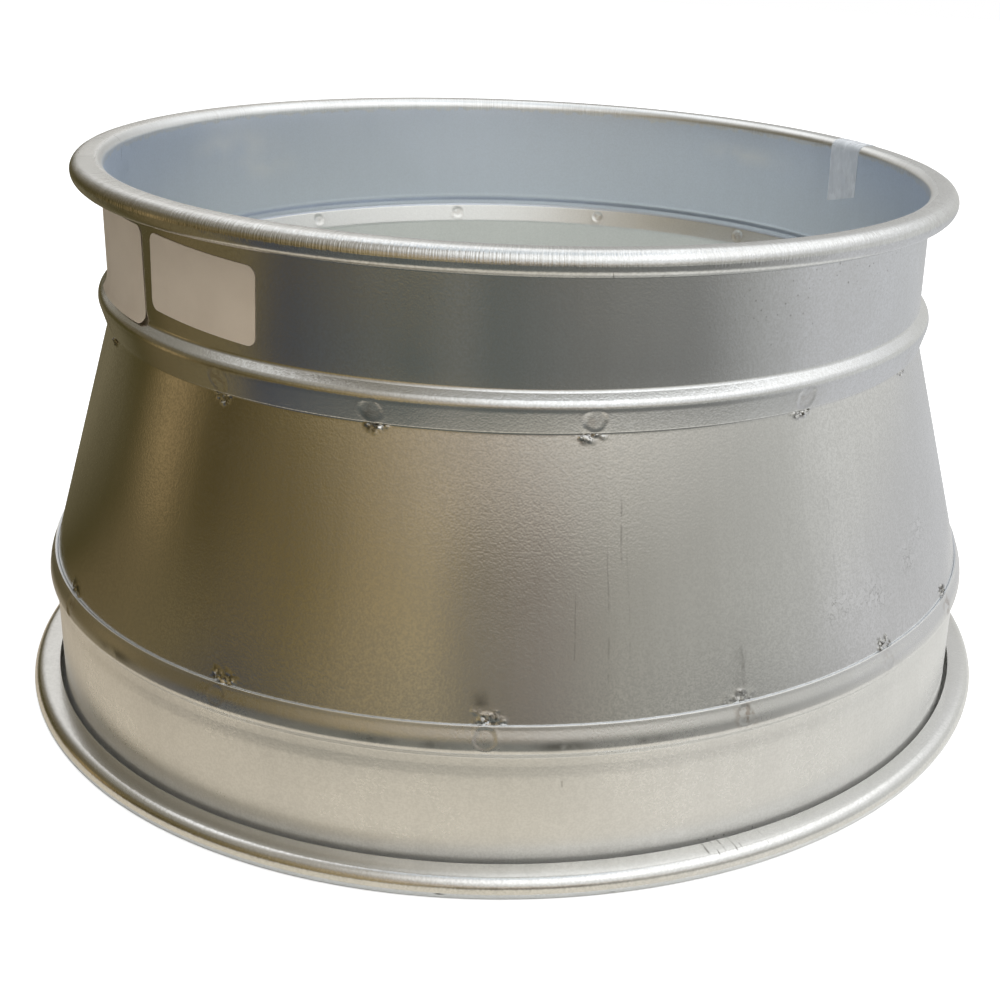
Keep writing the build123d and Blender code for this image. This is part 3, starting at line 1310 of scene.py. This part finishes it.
def ring(stops: Stops) -> list[tuple[float, Colour]]:
    """Stops of a ramp that goes once round the room and ends as it starts.

    Args:
        stops: Bearing and tone of each stop, in hundredths of a grey or of red, green and blue.

    Returns:
        Place in the ramp and colour of each stop.
    """
    last_bearing = 179
    made = []
    for bearing, *tone in (*stops, (last_bearing, *stops[0][1:])):
        red, green, blue = (part / 100 for part in (tone if len(tone) == 3 else tone * 3))
        made.append(((bearing + 180.0) / 360.0, (red, green, blue, 1.0)))
    return made


@dataclass
class Studio:
    """Pale floor, white background, soft lamps, and a glowing room, no lamp, whose tones are painted reflections in
    the sheet. Sizes are metres.
    """

    floor_size: float = 8.0
    floor_tone: Colour = (0.82, 0.82, 0.81, 1.0)
    floor_lift: float = 0.78
    ambient: float = 0.35
    sky: Colour = (0.93, 0.97, 1.0, 1.0)
    zenith: Colour = (0.58, 0.63, 0.69, 1.0)
    # Painted reflection: how much brighter the room glows at its wall's foot.
    wall_foot: Colour = (1.45, 1.45, 1.45, 1.0)
    room_radius: float = 1.6
    room_height: float = 1.1
    room_top: float = 1.9
    room_steps: int = 96
    room_glow: float = 0.84
    sky_glow: float = 1.3
    mat_start: float = 0.192
    mat_z: float = 0.001
    well_radius: float = 0.174
    eye_level: float = 0.15
    groove_bounces: int = 7
    lamps: tuple[Panel, ...] = (
        Panel("front_panel", 35.0, 1.5, 1.75, 1.7, 30.0),
        Panel("right_panel", 110.0, 1.6, 1.6, 1.5, 22.0),
    )

    def build(self) -> None:
        """Sets up everything around the object."""
        self.build_world()
        self.build_floor()
        self.build_room()
        for lamp in self.lamps:
            lamp.build()
        bpy.context.scene.view_settings.view_transform = "Standard"
        bpy.context.scene.cycles.glossy_bounces = self.groove_bounces

    def build_world(self) -> None:
        """White where the camera, gloss or film sees it, and a plain ambient light elsewhere."""
        world = bpy.data.worlds.new("studio")
        world.use_nodes = True
        bpy.context.scene.world = world
        graph = Graph(world.node_tree)
        rays = graph.add("ShaderNodeLightPath").outputs
        mirror = graph.math("MAXIMUM", rays["Is Glossy Ray"], rays["Is Transmission Ray"])
        seen = graph.math("MAXIMUM", rays["Is Camera Ray"], mirror)
        strength = graph.remap(seen, 0.0, 1.0, self.ambient, 1.0)
        colour = graph.blend(rays["Is Camera Ray"], self.sky, WHITE)
        back = graph.add("ShaderNodeBackground", {"Color": colour, "Strength": strength})
        graph.add("ShaderNodeOutputWorld", {"Surface": back.outputs[0]})

    def build_floor(self) -> None:
        """Pale floor, lifted to white for the camera, that keeps the object's shadow."""
        mesh = bmesh.new()
        bmesh.ops.create_grid(mesh, x_segments=2, y_segments=2, size=self.floor_size / 2)
        floor = self.stage_piece("floor", mesh)
        made, graph = new_material("floor_paint")
        camera = graph.add("ShaderNodeLightPath").outputs["Is Camera Ray"]
        paint = graph.add("ShaderNodeBsdfDiffuse", {"Color": self.floor_tone})
        lift = graph.add("ShaderNodeEmission", {"Strength": graph.times(camera, self.floor_lift)})
        graph.surface(graph.add("ShaderNodeAddShader", {0: paint.outputs[0], 1: lift.outputs[0]}))
        floor.data.materials.append(made)

    def build_room(self) -> None:
        """Painted reflections: a glowing shell of dim floor and walls, no lamp, that gloss alone sees and the sheet
        mirrors.
        """
        mesh = bmesh.new()
        profile = [
            (self.mat_start, self.mat_z),
            (self.room_radius, self.mat_z),
            (self.room_radius, self.room_height),
            (self.room_radius / 2, self.room_top),
            (0.0, self.room_top + 0.2),
        ]
        verts = [mesh.verts.new((r, 0.0, z)) for r, z in profile]
        for pair in zip(verts, verts[1:]):
            mesh.edges.new(pair)
        spin(mesh, mesh.verts[:] + mesh.edges[:], 360.0, self.room_steps, merge=True)
        raised = Matrix.Translation(UP * self.mat_z)
        bmesh.ops.create_circle(
            mesh, cap_ends=True, segments=self.room_steps, radius=self.well_radius, matrix=raised
        )
        # The room is a glowing shell, no lamp, that paints the sheet's reflections.
        room = self.stage_piece("room", mesh)
        room.visible_camera = False
        room.visible_diffuse = False
        room.visible_shadow = False
        room.data.materials.append(self.painted_reflection_glow())

    def painted_reflection_glow(self) -> bpy.types.Material:
        """Glow of the room, painted reflections for the sheet: soft tones by bearing, by distance along floor and
        wall, and by the rise above the eye.
        """
        made, graph = new_material("painted_reflection_glow")
        place = graph.place()
        axes = graph.axes(place)
        share = graph.scaled(graph.turn(axes), 1.0 / math.tau, 0.5)
        radius = graph.radius(place)
        along = graph.math("ADD", radius, axes["Z"])
        above = graph.math("SUBTRACT", axes["Z"], self.eye_level)
        rise = graph.math("DEGREES", graph.math("ARCTAN2", above, radius))
        tones = {name: graph.ramp(share, ring(stops)) for name, stops in GLOWING_REFLECTION_TONES.items()}
        late = tones["late"]
        mat_end = graph.scaled(late, -0.05, 0.32)
        white_start = graph.scaled(late, 9.0, 10.0)
        white_end = graph.math("ADD", white_start, 10.0)

        # Painted reflection of the floor: bright near the object, dim farther out, then the wall's tones.
        tone = graph.blend(graph.remap(along, 0.236, mat_end), tones["near"], tones["dim"])
        tone = graph.blend(graph.remap(along, 0.95, self.room_radius + 0.15), tone, tones["level"])
        # Painted reflection: a band at the foot of the room's wall glows brighter, at the bearings that the lift ramp
        # picks.
        foot = graph.times(graph.remap(along, 1.2, 1.5), graph.remap(along, 1.79, 1.63))
        tone = graph.blend(graph.times(foot, tones["lift"]), tone, self.wall_foot, "MULTIPLY")
        layers = (
            (4.0, 8.5, tones["high"]),
            (white_start, white_end, tones["white"]),
            (38.0, 52.0, tones["sky"]),
            (66.0, 82.0, self.zenith),
        )
        for start, end, colour in layers:
            tone = graph.blend(graph.remap(rise, start, end), tone, colour)
        # Painted shade: the well under the object glows in its own greyer tones, for the floor shaded by the object.
        tone = graph.blend(graph.remap(radius, 0.19, 0.18), tone, tones["well"])
        strength = graph.remap(rise, 24.0, 44.0, self.room_glow, self.sky_glow)
        graph.surface(graph.add("ShaderNodeEmission", {"Color": tone, "Strength": strength}))
        return made

    def stage_piece(self, name: str, mesh: Mesh) -> bpy.types.Object:
        """Makes a piece of the stage, which isn't part of the object."""
        piece = mesh_object(name, mesh)
        return piece


SMALL_WELDS = (-64.8, -37.2, -16.8, 7.9, 35.3, 60.0, 86.7, 113.4, 140.1, 167.3, 192.7, 218.4, 244.0, 269.6)
LARGE_WELDS = (-59.5, -31.5, -3.0, 23.7, 45.0, 62.0, 88.5, 115.0, 141.5, 168.0, 194.5, 221.0, 247.5, 274.0)


def small_collar() -> Collar:
    """The collar at the top, with brush marks on its lip, a pitted bore and painted highlights in the bore."""
    return Collar(
        name="small_collar_sheet",
        node="small_collar",
        mouth_z=200.0,
        bore_r=152.4,
        lip_out=10.1,
        step_z=154.8,
        ridge_r=156.6,
        ridge_z=151.6,
        edge_r=154.168,
        edge_z=142.8,
        weld_bearings=SMALL_WELDS,
        finish=GalvanisedSheet(
            "zinc_small_collar",
            lip_low=195.5,
            lip_high=203.0,
            lip_brush=1.0,
            tone=(0.80, 0.815, 0.82, 1.0),
            scratches=(
                Scratch(-92.0, 190.0, 201.0, 0.35, 0.0, 0.4, 1.0),
                Scratch(9.0, 191.0, 194.5, 0.3, 0.3, 0.5, 1.0),
                Scratch(14.0, 191.0, 194.0, 0.3, -0.3, 0.5, 1.0),
            ),
        ),
        marks=(
            # Painted highlights in the bore, as soft lighter patches.
            Mark(236.0, 184.0, 34.0, 12.0, 0.8, MarkKind.PAINTED_HIGHLIGHT),
            Mark(229.0, 174.0, 22.0, 9.0, 0.6, MarkKind.PAINTED_HIGHLIGHT),
            Mark(139.0, 184.0, 34.0, 6.0, 0.8, MarkKind.PAINTED_HIGHLIGHT),
            Mark(44.0, 184.0, 58.0, 14.0, 1.0, MarkKind.PITTED),
            Mark(30.0, 176.0, 40.0, 20.0, 0.7, MarkKind.PITTED),
            Mark(-12.0, 182.0, 30.0, 12.0, 0.4, MarkKind.PITTED),
            Mark(-17.3, 145.0, 3.0, 3.0, 0.6),
        ),
    )


def large_collar() -> Collar:
    """The collar at the foot, with a faint hoop under its ridge and smears along the seam."""
    return Collar(
        name="large_collar_sheet",
        node="large_collar",
        mouth_z=0.0,
        bore_r=177.8,
        lip_out=11.0,
        step_z=46.0,
        ridge_r=179.9,
        ridge_z=48.3,
        edge_r=177.717,
        edge_z=56.2,
        step_bend=2.2,
        ridge_bend=1.8,
        edge_round=0.15,
        swell=(Corner(177.8, 32.0, 40.0), Corner(177.93, 38.6, 20.0), Corner(177.76, 42.4, 8.0)),
        shoulder=(Corner(179.408, 51.6, 9.0), Corner(178.075, 54.9, 6.0)),
        weld_in=3.7,
        weld_spot=3.5,
        weld_bearings=LARGE_WELDS,
        finish=GalvanisedSheet(
            "zinc_large_collar",
            lip_low=-2.0,
            lip_high=9.3,
            foot_r=179.6,
            wall_rough=0.10,
            sand=0.26,
            cloud=0.14,
            streak=0.10,
            scratches=(
                Scratch(-7.2, 3.0, 3.7, 3.4, 0.0, 0.9, 0.15),
                Scratch(9.2, 2.0, 2.6, 1.6, 0.0, 0.8, 0.15),
                Scratch(19.4, 8.3, 9.0, 0.5, 0.0, 0.6, 0.2),
                Scratch(20.4, 7.9, 8.6, 0.3, 0.0, 0.6, 0.2),
                Scratch(21.2, 8.2, 9.0, 0.4, 0.0, 0.5, 0.2),
                Scratch(22.4, 7.8, 8.6, 0.4, 0.0, 0.6, 0.2),
                Scratch(23.0, 8.2, 9.0, 0.3, 0.0, 0.5, 0.2),
                Scratch(26.0, 7.4, 8.6, 0.3, 0.0, 0.5, 0.2),
                Scratch(4.7, 34.5, 37.5, 0.5, 0.1, 0.3, 0.8),
            ),
        ),
        marks=(
            Mark(-8.0, 50.3, 7.0, 2.2, 0.7),
            Mark(4.5, 50.3, 13.0, 2.4, 1.0),
            Mark(13.0, 50.4, 9.0, 1.8, 0.5),
            Mark(-47.0, 51.0, 14.0, 2.4, 1.0),
            Mark(-14.0, 50.3, 10.0, 2.0, 0.6),
        ),
    )


def tapered_body() -> Body:
    """The body between the collars, with upright rolling lines, long scratches and scuffs."""
    return Body(
        name="cone_sheet",
        node="cone",
        top=(155.942, 149.4),
        waist=(153.924, 142.1),
        foot=(179.241, 50.5),
        top_welds=SMALL_WELDS,
        foot_welds=LARGE_WELDS,
        finish=GalvanisedSheet(
            "zinc_cone",
            # Painted light on the inside face, nearly neutral on the body.
            inner=(0.98, 0.99, 0.98, 1.0),
            sand=0.46,
            lines_around=500.0,
            lines_along=12.0,
            scratches=(
                Scratch(9.2, 62.0, 112.0, 0.4, -0.01, 0.22, 10.0),
                Scratch(9.7, 66.0, 139.0, 0.3, 0.01, 0.12, 10.0, Shade.BRIGHT),
                Scratch(10.9, 100.0, 124.0, 0.5, 0.01, 0.30, 4.0),
                Scratch(11.5, 70.0, 118.0, 0.3, 0.0, 0.12, 10.0),
                Scratch(5.8, 70.0, 97.0, 0.35, 0.0, 0.20, 6.0),
                Scratch(24.0, 58.0, 76.0, 0.9, 0.02, 0.30, 6.0),
                Scratch(38.0, 80.0, 124.0, 0.3, -0.02, 0.12, 8.0),
                Scratch(39.2, 70.0, 116.0, 0.3, 0.0, 0.15, 8.0, Shade.BRIGHT),
            ),
        ),
        marks=(
            Mark(-3.6, 63.6, 4.0, 3.4, 0.9),
            Mark(-17.4, 141.0, 3.0, 2.4, 0.8),
            Mark(38.0, 76.5, 15.0, 7.0, 1.0, MarkKind.SCUFF),
            Mark(44.5, 75.0, 14.0, 7.0, 1.0, MarkKind.SCUFF),
            Mark(53.0, 81.0, 10.0, 7.0, 1.0, MarkKind.SCUFF),
            Mark(57.0, 87.0, 9.0, 8.0, 0.9, MarkKind.SCUFF),
            Mark(23.5, 66.0, 5.0, 9.0, 0.4),
        ),
    )


def main() -> None:
    """Builds the pieces in order, dresses them and sets the stage."""
    effects = SheetEffects()
    for sheet in (small_collar(), large_collar(), tapered_body()):
        sheet.build(effects)
    paper = LabelPaper().material()
    Sticker("item_sticker", "item_label", 50.8, 185.9, 160.5, -41.4, tilt=-2.7).build(paper)
    Sticker("stock_sticker", "stock_label", 57.2, 187.4, 154.4, -63.8, tail=1.6).build(paper)
    TapeStrip().build(ClearTape().material())
    Studio().build()
    Camera().build()


if __name__ == "__main__":
    logging.basicConfig(level=logging.INFO, format="%(message)s")
    main()
